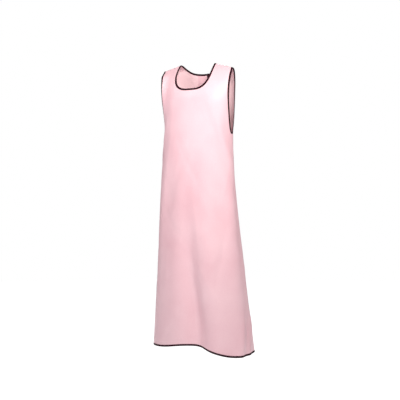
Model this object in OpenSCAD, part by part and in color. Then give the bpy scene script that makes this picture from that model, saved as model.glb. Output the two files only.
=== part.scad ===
// Full-length butcher's apron, as worn: a coated front panel, two back panels that
// meet on press studs, and a dark binding around every edge.
// +Z is up, the wearer faces -Y, and the wearer's left is +X.
// The origin is midway between the two points where neckline and shoulder seam meet.

/* [Length and width] */
// Drop from the neck point of the shoulder to the hem
hem_drop = 1350; // [1200:10:1450]
// Half-width of the skirt at the hem
hem_half = 254; // [225:1:280]
// Half-width of the body at the underarm
chest_half = 176; // [165:1:190]
// Depth of the front ahead of the shoulder line, at the neckline
front_depth = 110; // [95:1:125]
// Extra depth of the front at the hem
front_flare = 35; // [20:1:50]

/* [Neck and shoulders] */
// Half-width of the neck opening
neck_half = 89; // [82:1:95]
// Drop of the front neckline
neck_front = 125; // [110:1:140]
// Drop of the back neckline
neck_back = 40; // [34:1:46]
// Half-width across the shoulder tips
tip_half = 186; // [180:1:195]
// Drop of the shoulder tip
tip_drop = 27; // [20:1:34]
// Drop of the underarm
underarm_drop = 330; // [310:1:350]

/* [Back opening] */
// Distance of the fold line from the centre at its top
fold_top_x = 72; // [68:1:76]
// Distance of the fold line from the centre at the hem
fold_hem_x = 175; // [160:1:190]
// Half-width of the overlap of the two flaps
overlap_half = 25; // [24:1:30]
// Rise of the outer flap over the inner one
overlap_rise = 5.6; // [5.5:0.1:6.2]
// Number of press studs
stud_count = 5; // [3:1:5]
// Drop of the highest stud
stud_first = 90; // [85:1:110]
// Spacing of the studs
stud_pitch = 235; // [180:5:240]

/* [Cloth and trim] */
// Thickness of the coated cloth
cloth = 1.2; // [1:0.1:1.4]
// Width of the binding
trim_w = 9; // [8:0.5:10]
// Thickness of the binding over both sides of the cloth
trim_t = 2.8; // [2.6:0.1:3]
// Thickness of the facing
facing_t = 1; // [0.8:0.1:1]
// Thickness of the seam tape
tape_t = 0.8; // [0.6:0.1:1]

/* [Hidden] */
tip_ring = 209;          // half-width of the body at the shoulder tip, arm included
flare_power = 1.25;      // how the skirt's width grows downwards
arm_power = 1.5;         // how the width grows from the underarm up to the shoulder tip
front_power = 0.9;       // how quickly the front comes forward below the shoulder
front_round = 180;       // drop over which the front rounds over the shoulder
back_round = 80;         // drop over which the back rounds over the shoulder
neck_power = 3.2;        // squareness of the front neckline
back_neck_power = 2.2;   // squareness of the back neckline
fold_top_y = 65;         // depth of the fold line behind the shoulders, at its top
fold_hem_y = 135;        // the same at the hem
fold_top_z = -45;        // height at which fold_top_x and fold_top_y hold
fold_gap = 1.5;          // clearance of the cloth from the fold line
fold_gap_trim = 3.4;     // clearance of the thicker binding from the fold line
rise_start = 48;         // distance from the centre where the outer flap begins to rise
seam_play = 0.05;        // face clearance of the facings
trim_play = 0.15;        // clearance of the bindings from the cloth's edge
stud_play = 0.3;         // face clearance of the studs' inner parts
tape_play = 0.4;         // face clearance of the seam tapes
trim_in = trim_w - trim_play;
tape_lift = -(cloth + tape_t) / 2 - tape_play;
tape_clear = 3;          // distance of the shoulder tape from the ridge of the shoulder
tape_drop = 9;           // height that the shoulder tape covers
side_angle = 5;          // angle from the side seam to the first column of cloth beside it
strap_angles = [46, 35, 24, 13, side_angle, 0];
neck_steps = 14;         // columns on each half of the front neckline
rear_steps = 5;          // columns on the back neckline, from fold to shoulder
flap_steps = 6;          // columns from the fold to the overlap
rise_steps = 4;          // columns over the rise of the outer flap
seam_near = 0.01;        // least depth below the shoulder seam
arm_rows = 16;           // rows above the underarm
arm_ease = 1.25;         // how much closer together they are at the shoulder
neck_ease = 2;           // the same for the columns along the front neckline
skirt_rows = 11;         // rows below the underarm

stud_r = 2.8;            // nipple of the press stud
stud_base_r = 5.5;
stud_base_t = 0.5;
stud_h = 1.4;
stud_bevel = 0.4;
stud_shank_r = 2;
stud_hole_h = 8;
shank_play = 0.1;
socket_r = 6;
socket_bore_r = 3.7;
socket_h = 1.9;
socket_plate_t = 0.5;
cap_r = 6.5;
cap_h = 2.2;
cap_rim_t = 0.6;
ring_t = 0.8;

PINK = "pink";
MAROON = [0.25, 0.03, 0.1];
FRONT = -1;
BACK = 1;

// ---- small helpers ----
function mix(a, b, t) = a + (b - a) * t;
function clamp01(t) = max(0, min(1, t));
function smooth(t) = let(c = clamp01(t)) c * c * (3 - 2 * c);
function unit(v) = v / norm(v);
function reversed(list) = [for (i = [len(list) - 1:-1:0]) list[i]];
function flipped(list) = [for (p = list) [-p[0], p[1], p[2]]];
function mirrored(grid) = [for (row = grid) flipped(row)];

// ---- the body that the cloth hangs round ----
// Every place on the cloth is [x, z, lift]: its distance across, its height, and how far
// it stands off the body along the normal.
function shoulder_z(x) = -tip_drop * max(0, abs(x) - neck_half) / (tip_half - neck_half);
function below_shoulder(x, z) = max(seam_near, shoulder_z(x) - z);
function arm_share(z) = clamp01((z + underarm_drop) / (underarm_drop - tip_drop));
function skirt_share(z) = clamp01((-underarm_drop - z) / (hem_drop - underarm_drop));
function half_width(z) = chest_half + (tip_ring - chest_half) * pow(arm_share(z), arm_power)
    + (hem_half - chest_half) * pow(skirt_share(z), flare_power);
function ellipse(r) = sqrt(max(0, 1 - r * r));

function fold_share(z) = (fold_top_z - z) / (fold_top_z + hem_drop);
function fold_x(z) = mix(fold_top_x, fold_hem_x, fold_share(z));
function fold_y(z) = mix(fold_top_y, fold_hem_y, fold_share(z));

function front_reach(x, z) = (front_depth
    + front_flare * clamp01((-neck_front - z) / (hem_drop - neck_front)))
    * sin(90 * pow(min(1, below_shoulder(x, z) / front_round), front_power));
function round_over(d) = ellipse(1 - min(1, d / back_round));
function back_reach(x, z) = let(zf = min(z, fold_top_z / 2))
    fold_y(zf) / (ellipse(fold_x(zf) / half_width(zf)) * round_over(-zf))
    * round_over(below_shoulder(x, z));
function reach(side, x, z) = side == FRONT ? front_reach(x, z) : back_reach(x, z);

function on_body(side, x, z) = [x, side * reach(side, x, z) * ellipse(x / half_width(z)), z];

// Outward normal of the body, from the gradient of (x / half width)^2 + (y / reach)^2
function skirt_normal(side, x, z) = let(
        step = 0.01,
        h = half_width(z),
        r = reach(side, x, z),
        y2 = max(0, 1 - x * x / (h * h)),
        dh = (half_width(z + step) - half_width(z - step)) / (2 * step),
        dr_x = (reach(side, x + step, z) - reach(side, x - step, z)) / (2 * step),
        dr_z = (reach(side, x, z + step) - reach(side, x, z - step)) / (2 * step))
    unit([x / (h * h) - y2 * dr_x / r,
        side * sqrt(y2) / r,
        -x * x * dh / (h * h * h) - y2 * dr_z / r]);

// On the shoulder seam front and back share one normal
function normal(side, x, z) = shoulder_z(x) - z < 2 * seam_near
    ? unit([tip_drop / (tip_half - neck_half) * sign(x), 0, 1])
    : skirt_normal(side, x, z);

function place(side, p, off) = on_body(side, p[0], p[1]) + normal(side, p[0], p[1]) * (p[2] + off);

// ---- edges of the garment ----
// inset is 0 on the finished edge and trim_w where the binding ends
function arm_edge(z, inset) = let(
        low = -underarm_drop - inset,
        share = clamp01((z - low) / (-tip_drop - low)))
    z <= low ? half_width(z) : half_width(z) * (1 - (1 - (tip_half - inset) / tip_ring) * share);

function neck_front_at(phi, inset) = let(x = (neck_half + inset) * pow(abs(sin(phi)), 2 / neck_power))
    [sign(phi) * x, shoulder_z(x) - (neck_front + inset) * pow(cos(phi), 2 / neck_power), 0];

function neck_back_z(x, inset) = shoulder_z(x)
    - (neck_back + inset) * pow(max(0, 1 - pow(abs(x) / (neck_half + inset), back_neck_power)),
        1 / back_neck_power);

// Where the back neckline meets a line at a share t of the way from the fold to x_end
function flap_top(t, x_end, gap, inset) = let(
        x0 = mix(fold_top_x - gap, x_end, t),
        z0 = neck_back_z(x0, inset),
        x1 = mix(fold_x(z0) - gap, x_end, t),
        z1 = neck_back_z(x1, inset))
    [mix(fold_x(z1) - gap, x_end, t), z1];

// ---- solids from grids of places ----
// Closed sheet of even thickness over a grid of places. closed joins the last row to the first.
// A place with a fourth value has its own side of the body.
module sheet(grid, side, thick, closed = false) {
    rows = len(grid);
    cols = len(grid[0]);
    outer = [for (i = [0:rows - 1]) for (p = grid[i]) place(len(p) > 3 ? p[3] : side, p, thick / 2)];
    inner = [for (i = [0:rows - 1]) for (p = grid[i]) place(len(p) > 3 ? p[3] : side, p, -thick / 2)];
    n = rows * cols;
    mid_r = floor(rows / 2) - 1;
    mid_c = floor((cols - 1) / 2);
    a = mid_r * cols + mid_c;
    turn = cross(outer[a + 1] - outer[a], outer[a + cols] - outer[a]) * (outer[a] - inner[a]) > 0;
    last = closed ? rows - 1 : rows - 2;
    // Two triangles for the quad a-b-c-d, turned round where the grid runs the other way
    function quad(q) = turn
        ? [[q[0], q[2], q[1]], [q[0], q[3], q[2]]]
        : [[q[0], q[1], q[2]], [q[0], q[2], q[3]]];
    function at(i, j) = (i % rows) * cols + j;
    faces = [
        for (i = [0:last]) for (j = [0:cols - 2]) each
            quad([at(i, j), at(i, j + 1), at(i + 1, j + 1), at(i + 1, j)]),
        for (i = [0:last]) for (j = [0:cols - 2]) each
            quad([n + at(i + 1, j), n + at(i + 1, j + 1), n + at(i, j + 1), n + at(i, j)]),
        for (i = [0:last]) each quad([at(i + 1, 0), n + at(i + 1, 0), n + at(i, 0), at(i, 0)]),
        for (i = [0:last]) each
            quad([at(i, cols - 1), n + at(i, cols - 1), n + at(i + 1, cols - 1), at(i + 1, cols - 1)]),
        if (!closed) for (j = [0:cols - 2]) each
            quad([at(0, j), n + at(0, j), n + at(0, j + 1), at(0, j + 1)]),
        if (!closed) for (j = [0:cols - 2]) each
            quad([at(rows - 1, j + 1), n + at(rows - 1, j + 1), n + at(rows - 1, j), at(rows - 1, j)])
    ];
    polyhedron(points = concat(outer, inner), faces = faces, convexity = 8);
}

// Share of the way from the shoulder to the underarm: rows lie close together at both ends
function row_share(i) = (1 - cos(180 * pow(i / arm_rows, arm_ease))) / 2;
// Heights down a column that starts at z_top
function column_z(z_top, low) = concat(
    [for (i = [0:arm_rows]) mix(z_top, -underarm_drop - trim_w, row_share(i))],
    [for (i = [1:skirt_rows]) mix(-underarm_drop - trim_w, low, i / skirt_rows)]);

// ---- front panel ----
// Angle of the i-th column on the neckline, which steepens towards the shoulder
function neck_front_angle(i) = sign(i) * 90 * (1 - pow(1 - abs(i) / neck_steps, neck_ease));
shoulder_tops = [for (a = strap_angles) let(x = (tip_half - trim_w) * cos(a)) [x, shoulder_z(x), 0]];
front_tops = concat(
    reversed(flipped(shoulder_tops)),
    [for (i = [-neck_steps:neck_steps]) neck_front_at(neck_front_angle(i), trim_w)],
    shoulder_tops);

function front_column(top) = let(share = top[0] / arm_edge(top[1], trim_w))
    [for (z = column_z(top[1], -hem_drop + trim_w)) [share * arm_edge(z, trim_w), z, 0]];

module front_panel() {
    color(PINK) sheet([for (top = front_tops) front_column(top)], FRONT, cloth);
}

// ---- back: the part beside the fold, which stays with the front ----
function neck_back_angle(x, inset) = asin(pow(x / (neck_half + inset), back_neck_power / 2));
function neck_back_at(phi, inset) = let(x = (neck_half + inset) * pow(sin(phi), 2 / back_neck_power))
    [x, neck_back_z(x, inset), 0];
// Back neckline from the fold line round to the shoulder seam
function rear_neck(gap, inset) = let(
        start = flap_top(0, 0, -gap, inset),
        phi = neck_back_angle(start[0], inset))
    [for (i = [0:rear_steps]) i == rear_steps
        ? [neck_half + inset, shoulder_z(neck_half + inset), 0]
        : neck_back_at(mix(phi, 90, i / rear_steps), inset)];

side_back_tops = concat(rear_neck(fold_gap, trim_w), shoulder_tops);
function fold_angle(z) = acos((fold_x(z) + fold_gap) / arm_edge(z, trim_w));
// Columns spread by angle between the fold and the side; the last one is the side itself
function side_back_x(top, z) = let(
        angle = acos(min(1, top[0] / arm_edge(top[1], trim_w))),
        share = (angle - side_angle) / (fold_angle(top[1]) - side_angle))
    angle < 0.01 ? arm_edge(z, trim_w)
        : arm_edge(z, trim_w) * cos(mix(side_angle, fold_angle(z), share));
function side_back_column(top) = [for (z = column_z(top[1], -hem_drop + trim_w))
    [side_back_x(top, z), z, 0]];
side_back_grid = [for (top = side_back_tops) side_back_column(top)];

module left_side_back() {
    color(PINK) sheet(side_back_grid, BACK, cloth);
}
module right_side_back() {
    color(PINK) sheet(mirrored(side_back_grid), BACK, cloth);
}

// ---- back: the flap that swings about the fold line ----
flap_end = -(overlap_half - trim_w);
function rise(x, lifted) = lifted ? overlap_rise * smooth((rise_start - x) / (rise_start - overlap_half)) : 0;

// Extra columns lie close together where the outer flap rises over the inner one
function flap_xs(z, gap) = concat(
    [for (i = [0:flap_steps]) mix(fold_x(z) - gap, rise_start, i / flap_steps)],
    [for (i = [1:rise_steps]) mix(rise_start, overlap_half, i / rise_steps)],
    [0, flap_end]);
function flap_grid(lifted) = let(tops = [for (k = [0:len(flap_xs(0, 0)) - 1])
            let(z0 = neck_back_z(flap_xs(-neck_back, fold_gap)[k], trim_w))
                neck_back_z(flap_xs(z0, fold_gap)[k], trim_w)])
    [for (k = [0:len(tops) - 1]) [for (z = column_z(tops[k], -hem_drop + trim_w))
        let(x = flap_xs(z, fold_gap)[k]) [x, z, rise(x, lifted)]]];

module stud_holes(lift) {
    at_studs(lift) cylinder(r = stud_shank_r + shank_play, h = stud_hole_h, center = true, $fn = 32);
}
module left_back_flap() {
    color(PINK) difference() {
        sheet(flap_grid(true), BACK, cloth);
        stud_holes(overlap_rise);
    }
}
module right_back_flap() {
    color(PINK) difference() {
        sheet(mirrored(flap_grid(false)), BACK, cloth);
        stud_holes(0);
    }
}

// ---- bindings ----
function strip(a, b) = [for (i = [0:len(a) - 1]) [a[i], b[i]]];
function with_side(list, side) = [for (p = list) [p[0], p[1], p[2], side]];

// One run from fold to fold by way of the front
function neck_run(inset) = let(rear = rear_neck(fold_gap_trim, inset))
    concat(with_side(rear, BACK),
        with_side([for (i = [neck_steps - 1:-1:-neck_steps + 1]) neck_front_at(neck_front_angle(i), inset)],
            FRONT),
        with_side(flipped(reversed(rear)), BACK));
module neck_binding() {
    color(MAROON) sheet(strip(neck_run(trim_in), neck_run(0)), BACK, trim_t);
}

function neck_end_run(lifted, inset) = [for (k = [0:len(flap_xs(0, 0)) - 1])
    let(z0 = neck_back_z(flap_xs(-neck_back, fold_gap_trim)[k], inset),
        x = flap_xs(z0, fold_gap_trim)[k])
    [x, neck_back_z(x, inset), rise(x, lifted)]];
function neck_end(lifted) = strip(neck_end_run(lifted, trim_in), neck_end_run(lifted, 0));
module neck_binding_left_end() {
    color(MAROON) sheet(neck_end(true), BACK, trim_t);
}
module neck_binding_right_end() {
    color(MAROON) sheet(mirrored(neck_end(false)), BACK, trim_t);
}

function arm_zs(inset) = [for (i = [0:arm_rows])
    mix(shoulder_z(tip_half - inset), -underarm_drop - inset, row_share(i))];
function arm_run(inset) = let(down = [for (z = arm_zs(inset)) [arm_edge(z, inset), z, 0]])
    concat(with_side(down, FRONT), with_side(reversed([for (i = [1:arm_rows - 1]) down[i]]), BACK));
module left_armhole_binding() {
    color(MAROON) sheet(strip(arm_run(trim_in), arm_run(0)), FRONT, trim_t, closed = true);
}
module right_armhole_binding() {
    mirror([1, 0, 0]) left_armhole_binding();
}

function hem_rear(z) = [for (top = side_back_tops)
    [max(fold_x(z) + fold_gap_trim, side_back_x(top, z)), z, 0]];
function hem_front(z) = [for (top = front_tops) [top[0] / arm_edge(top[1], trim_w) * half_width(z), z, 0]];
function hem_run(z) = let(rear = hem_rear(z), ahead = hem_front(z))
    concat(with_side(rear, BACK),
        with_side([for (i = [len(ahead) - 2:-1:1]) ahead[i]], FRONT),
        with_side(flipped(reversed(rear)), BACK));
module hem_binding() {
    color(MAROON) sheet(strip(hem_run(-hem_drop + trim_in), hem_run(-hem_drop)), BACK, trim_t);
}
function hem_end(lifted) = let(xs = function (z) flap_xs(z, fold_gap_trim))
    strip([for (x = xs(-hem_drop + trim_in)) [x, -hem_drop + trim_in, rise(x, lifted)]],
        [for (x = xs(-hem_drop)) [x, -hem_drop, rise(x, lifted)]]);
module hem_binding_left_end() {
    color(MAROON) sheet(hem_end(true), BACK, trim_t);
}
module hem_binding_right_end() {
    color(MAROON) sheet(mirrored(hem_end(false)), BACK, trim_t);
}

function back_edge(lifted) = let(zs = column_z(neck_back_z(flap_end, trim_w), -hem_drop + trim_w))
    [for (z = zs) [for (x = [flap_end - trim_play, -overlap_half]) [x, z, rise(x, lifted)]]];
module left_back_edge_binding() {
    color(MAROON) sheet(back_edge(true), BACK, trim_t);
}
module right_back_edge_binding() {
    color(MAROON) sheet(mirrored(back_edge(false)), BACK, trim_t);
}

// ---- facings under the back edges ----
// They lie under the flap's last columns, from the overlap's far side to its binding
facing_cols = 3;
function facing_grid(lifted) = let(flap = flap_grid(lifted), first = len(flap) - facing_cols)
    [for (k = [first:len(flap) - 1]) [for (p = flap[k])
        [p[0], p[1], p[2] - (cloth + facing_t) / 2 - seam_play]]];
module left_back_facing() {
    color(PINK) difference() {
        sheet(facing_grid(true), BACK, facing_t);
        stud_holes(overlap_rise);
    }
}
module right_back_facing() {
    color(PINK) difference() {
        sheet(mirrored(facing_grid(false)), BACK, facing_t);
        stud_holes(0);
    }
}

// ---- seam tapes inside ----
// Across the side seam, as far as the first column of cloth on either side
function side_tape_row(z) = [for (a = [side_angle, 0, -side_angle])
    [half_width(z) * cos(a), z, tape_lift, a < 0 ? BACK : FRONT]];
side_tape_grid = [for (i = [0:skirt_rows])
    side_tape_row(mix(-underarm_drop - trim_w, -hem_drop + trim_w, i / skirt_rows))];
module left_side_seam_tape() {
    color(PINK) sheet(side_tape_grid, FRONT, tape_t);
}
module right_side_seam_tape() {
    mirror([1, 0, 0]) left_side_seam_tape();
}
// Just ahead of the shoulder seam
shoulder_tape_grid = [for (top = shoulder_tops) if (top[0] < tip_half - 2 * trim_w)
    [[top[0], top[1] - tape_clear, tape_lift], [top[0], top[1] - tape_clear - tape_drop, tape_lift]]];
module left_shoulder_seam_tape() {
    color(PINK) sheet(shoulder_tape_grid, FRONT, tape_t);
}
module right_shoulder_seam_tape() {
    mirror([1, 0, 0]) left_shoulder_seam_tape();
}

// ---- press studs: axis along the cloth's normal, z = 0 on the middle of the cloth ----
under_facing = -cloth / 2 - facing_t - seam_play - stud_play;
module at_studs(lift) {
    for (i = [0:stud_count - 1]) {
        z = -stud_first - i * stud_pitch;
        n = normal(BACK, 0, z);
        translate(on_body(BACK, 0, z) + n * lift) rotate([-atan2(n[1], n[2]), 0, 0]) children();
    }
}
module snap_caps() {
    face = cloth / 2;
    shank_end = under_facing - socket_plate_t;
    color("gainsboro") at_studs(overlap_rise) rotate_extrude($fn = 48) polygon([
        [0, shank_end], [stud_shank_r, shank_end], [stud_shank_r, face], [cap_r, face],
        [cap_r, face + cap_rim_t],
        for (a = [20:20:80]) [cap_r * cos(a), face + cap_rim_t + (cap_h - cap_rim_t) * sin(a)],
        [0, face + cap_h]]);
}
module snap_sockets() {
    top = under_facing;
    color("gainsboro") at_studs(overlap_rise) rotate_extrude($fn = 48) polygon([
        [stud_shank_r + shank_play, top], [socket_r, top], [socket_r, top - socket_h],
        [socket_bore_r, top - socket_h], [socket_bore_r, top - socket_plate_t],
        [stud_shank_r + shank_play, top - socket_plate_t]]);
}
module snap_studs() {
    face = cloth / 2;
    shank_end = under_facing - ring_t;
    color("gainsboro") at_studs(0) rotate_extrude($fn = 48) polygon([
        [0, shank_end], [stud_shank_r, shank_end], [stud_shank_r, face], [stud_base_r, face],
        [stud_base_r, face + stud_base_t], [stud_r, face + stud_base_t],
        [stud_r, face + stud_base_t + stud_h - stud_bevel],
        [stud_r - stud_bevel, face + stud_base_t + stud_h],
        [0, face + stud_base_t + stud_h]]);
}
module snap_rings() {
    top = under_facing;
    color("gainsboro") at_studs(0) rotate_extrude($fn = 48) polygon([
        [stud_shank_r + shank_play, top], [stud_base_r, top], [stud_base_r, top - ring_t],
        [stud_shank_r + shank_play, top - ring_t]]);
}

// ---- blank care label, sewn in the left side seam and hanging inside ----
label_w = 30;
label_h = 60;
label_t = 0.4;
label_drop = 560;
label_play = 0.1;
function label_edge(z) = place(FRONT, [half_width(z), z, tape_lift], -tape_t / 2)[0] - label_play;
module care_label() {
    top = label_edge(-label_drop);
    foot = label_edge(-label_drop - label_h);
    color("white") rotate([90, 0, 0]) linear_extrude(label_t) polygon([
        [top - label_w, -label_drop], [top, -label_drop],
        [foot, -label_drop - label_h], [foot - label_w, -label_drop - label_h]]);
}

front_panel();
left_side_back();
right_side_back();
left_back_flap();
right_back_flap();
neck_binding();
neck_binding_left_end();
neck_binding_right_end();
left_armhole_binding();
right_armhole_binding();
hem_binding();
hem_binding_left_end();
hem_binding_right_end();
left_back_edge_binding();
right_back_edge_binding();
left_side_seam_tape();
right_side_seam_tape();
left_shoulder_seam_tape();
right_shoulder_seam_tape();
left_back_facing();
right_back_facing();
snap_caps();
snap_sockets();
snap_studs();
snap_rings();
care_label();
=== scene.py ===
"""A butcher's apron as worn: coated cloth with bound edges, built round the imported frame.

Shapes are worked out in millimetres on the same body surface as the CAD model, then draped
(moved by one smooth field, so that everything sewn together stays together) and put in metres.
"""

import math

import bpy
import numpy as np
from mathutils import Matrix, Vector


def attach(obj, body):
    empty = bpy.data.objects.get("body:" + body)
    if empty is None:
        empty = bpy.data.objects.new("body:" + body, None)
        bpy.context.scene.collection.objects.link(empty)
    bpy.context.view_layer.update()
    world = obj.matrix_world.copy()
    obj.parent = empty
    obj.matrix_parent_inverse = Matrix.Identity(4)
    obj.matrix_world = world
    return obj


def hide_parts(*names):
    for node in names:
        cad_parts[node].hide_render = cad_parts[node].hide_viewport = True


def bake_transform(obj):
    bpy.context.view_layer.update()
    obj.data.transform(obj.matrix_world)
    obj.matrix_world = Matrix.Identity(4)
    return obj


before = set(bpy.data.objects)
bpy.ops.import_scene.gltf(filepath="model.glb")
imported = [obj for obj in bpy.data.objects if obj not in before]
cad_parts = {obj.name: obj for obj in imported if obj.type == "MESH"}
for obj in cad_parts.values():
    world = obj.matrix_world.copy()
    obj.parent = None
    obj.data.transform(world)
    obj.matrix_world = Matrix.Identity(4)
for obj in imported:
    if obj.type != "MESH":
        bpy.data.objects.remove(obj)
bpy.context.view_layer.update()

MM = 0.001
FRONT, BACK = -1, 1
SIDES = (("left", 1), ("right", -1))  # the wearer's sides, and the sign of their x

# ---- the body surface, as in the CAD model (mm) ----
HEM_DROP, HEM_HALF, CHEST_HALF = 1350.0, 254.0, 176.0
FRONT_DEPTH, FRONT_FLARE = 110.0, 35.0
NECK_HALF, NECK_FRONT, NECK_BACK = 89.0, 125.0, 40.0
TIP_HALF, TIP_DROP, UNDERARM = 186.0, 27.0, 330.0
FOLD_TOP, FOLD_HEM, FOLD_TOP_Z = (72.0, 65.0), (175.0, 135.0), -45.0
TIP_RING, FRONT_ROUND, BACK_ROUND = 209.0, 180.0, 80.0
FLARE_POWER, ARM_POWER, FRONT_POWER = 1.25, 1.5, 0.9
NECK_POWER, BACK_NECK_POWER = 3.2, 2.2
TRIM_W = 9.0
FLAP_EDGE = 25.0  # finished back edge, past the centre line
RISE, RISE_START = 5.6, 48.0  # the outer flap lies over the inner one

# ---- layers of the sewn cloth, as lifts from the body surface (mm) ----
CLOTH_OUT, CLOTH_IN = 0.55, -0.15
EDGE_IN = 1.2  # the raw edge stops this far inside its binding
TAPE_OUT, TAPE_IN = -0.3, -0.7
FACING_OUT, FACING_IN = -0.25, -1.68
SEWN_DIP = -0.15  # share of the outer lift that is left where cloth is drawn into a seam
DIP_DEPTH = 0.25  # how far its inner face goes in there


def clamp(t):
    return np.clip(t, 0.0, 1.0)


def smooth(t):
    t = clamp(t)
    return t * t * (3 - 2 * t)


def bell(t):
    return np.exp(-0.5 * np.square(t))


def mix(a, b, t):
    return a + (b - a) * t


def ellipse(r):
    return np.sqrt(np.maximum(0.0, 1 - r * r))


SHOULDER_SLOPE = TIP_DROP / (TIP_HALF - NECK_HALF)
SHOULDER_SOFT = 7.0  # the shoulder turns over this much of its length beside the neck


def shoulder_z(x):
    t = np.abs(x) - NECK_HALF
    return -SHOULDER_SLOPE * (t + np.sqrt(t * t + SHOULDER_SOFT**2)) / 2


def shoulder_lean(x):
    t = np.abs(x) - NECK_HALF
    return -np.sign(x) * SHOULDER_SLOPE * (1 + t / np.sqrt(t * t + SHOULDER_SOFT**2)) / 2


def half_width(z):
    arm = clamp((z + UNDERARM) / (UNDERARM - TIP_DROP)) ** ARM_POWER
    skirt = clamp((-UNDERARM - z) / (HEM_DROP - UNDERARM)) ** FLARE_POWER
    return CHEST_HALF + (TIP_RING - CHEST_HALF) * arm + (HEM_HALF - CHEST_HALF) * skirt


def front_reach(drop, z):
    depth = FRONT_DEPTH + FRONT_FLARE * clamp((-NECK_FRONT - z) / (HEM_DROP - NECK_FRONT))
    return depth * np.sin(math.pi / 2 * np.minimum(1, drop / FRONT_ROUND) ** FRONT_POWER)


def round_over(drop):
    return ellipse(1 - np.minimum(1, drop / BACK_ROUND))


def back_reach(drop, z):
    z = np.minimum(z, FOLD_TOP_Z / 2)
    share = (FOLD_TOP_Z - z) / (FOLD_TOP_Z + HEM_DROP)
    fold_x, fold_y = mix(FOLD_TOP[0], FOLD_HEM[0], share), mix(FOLD_TOP[1], FOLD_HEM[1], share)
    return fold_y / (ellipse(fold_x / half_width(z)) * round_over(-z)) * round_over(drop)


def reach(side, drop, z):
    return np.where(side < 0, front_reach(drop, z), back_reach(drop, z))


def own_normal(side, x, z, drop):
    """Outward normal of one side of the body, from the gradient of its equation."""
    step = 0.02  # of the slopes taken by difference
    width = half_width(z)
    far = reach(side, drop, z)
    share = x / width
    level = ellipse(share)
    by_drop = (reach(side, drop + step, z) - far) / step
    by_z = (reach(side, drop, z + step) - reach(side, drop, z - step)) / (2 * step)
    width_by_z = (half_width(z + step) - half_width(z - step)) / (2 * step)
    slope = shoulder_lean(x)
    normal = np.stack([
        x * far / width**2 - level**2 * by_drop * slope,
        side * level,
        -(share**2) * far / width * width_by_z - level**2 * (by_z - by_drop),
    ], -1)
    return normal / np.linalg.norm(normal, axis=-1, keepdims=True)


LEAST_DROP = 0.01  # below the ridge of the shoulder
SHARED_DROP = {FRONT: 1.5, BACK: 0.1}  # where the two normals that are shared are taken
OWN_DROP = {FRONT: 9.0, BACK: 0.6}  # where each side has its own normal again


def body(side, x, z, lift=0.0):
    """A point of the undraped apron. Front and back share one normal along the shoulder."""
    side, x, z, lift = np.broadcast_arrays(
        np.asarray(side, float), np.asarray(x, float), np.asarray(z, float), np.asarray(lift, float))
    ridge = shoulder_z(x)
    drop = np.maximum(LEAST_DROP, ridge - z)
    z = ridge - drop
    normal = own_normal(side, x, z, drop)
    shared = sum(own_normal(turn, x, ridge - near, near + 0 * x) for turn, near in SHARED_DROP.items())
    shared /= np.linalg.norm(shared, axis=-1, keepdims=True)
    own_share = np.where(side < 0, smooth(drop / OWN_DROP[FRONT]), smooth(drop / OWN_DROP[BACK]))[..., None]
    normal = mix(shared, normal, own_share)
    normal /= np.linalg.norm(normal, axis=-1, keepdims=True)
    y = side * reach(side, drop, z) * ellipse(x / half_width(z))
    return np.stack([x, y, z], -1) + normal * lift[..., None]


# ---- the drape ----
# small creases: angle round the body, height, lean, half-length, half-width and depth (mm)
CREASE_COUNT = 90
DEGREE_MM = 2.9  # one degree round the body, in mm
draw = np.random.default_rng(7)
CREASES = np.stack([
    draw.uniform(-170, 170, CREASE_COUNT), draw.uniform(-1330, -300, CREASE_COUNT),
    draw.normal(0.0, 0.42, CREASE_COUNT), draw.uniform(45, 150, CREASE_COUNT),
    draw.uniform(6, 13, CREASE_COUNT),
    draw.choice([-1.0, 1.0], CREASE_COUNT) * draw.uniform(0.7, 1.9, CREASE_COUNT)], -1)


def small_creases(angle, z):
    total = 0.0
    for at, height, lean, half_length, half_width_mm, depth in CREASES:
        across = (angle - at) * DEGREE_MM
        down = z - height
        along = down * math.cos(lean) + across * math.sin(lean)
        beside = across * math.cos(lean) - down * math.sin(lean)
        total = total + depth * bell(beside / half_width_mm) * bell(along / half_length)
    return total


BACK_STILL = 46.0  # half-width of the strip with the press studs, which the drape leaves alone
BACK_FREE = 165.0  # beyond it, how far until the back moves in full
BACK_FROM, BACK_RUN = -12, 60.0  # where the back begins, by y
CHEST_SWAY, CHEST_SWAY_Z, CHEST_SWAY_HALF = 9, -235, 120.0
HEM_SWAY, HEM_SWAY_POWER, FALL_POWER = (18, 9), 1.6, 1.4
# the front edge of the wearer's right armhole turns outwards and forwards
TURN_OUT, TURN_FORWARD = 8, 34
TURN_X, TURN_X_RUN, TURN_Y, TURN_Y_RUN = -128, 60.0, -14, 30.0
TURN_GROWS, TURN_ENDS = (24, 40.0), (150, 190.0)
# start below the neck and run (mm) of what grows or ends with the height
SKIRT_GROWS, VALLEY_SHIFTS, WAVES_GROW = (560, 700.0), (900, 450.0), (380, 300.0)
CORNER_GROWS, PULL_GROWS, PULL_ENDS = (1120, 130.0), (250, 70.0), (430, 150.0)
VALLEY_DEPTH, VALLEY_X, VALLEY_SHIFT, VALLEY_HALF = 46, 12, 34, (26.0, 38.0)
CHEST_DEPTH, CHEST_Z, CHEST_TALL, CHEST_WIDE = 3.5, -150, 70.0, 50
PULL_HEIGHT, PULL_ANGLE, PULL_LEAN, PULL_HALF = 3.2, 58, 0.16, 7.0
# height (mm), middle and half-width (degrees round the body; 0 is the front, the left is positive)
HEM_FALL = ((20, 1, 19), (-29, 57, 26), (-13, 112, 26))
THIGHS = ((15, 47, 17), (7, -24, 20), (-8, -56, 13), (5, -77, 10))
# height (mm), waves round the body, turn with the height, and phase (degrees)
WAVES = ((3.4, 5.2, 0.031, 35), (2.0, 8.3, -0.043, 160))
FLUTES = (7.0, 6.6, 92), (2.5, 11, -40 / 11)  # height, waves and where they start, behind
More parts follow.
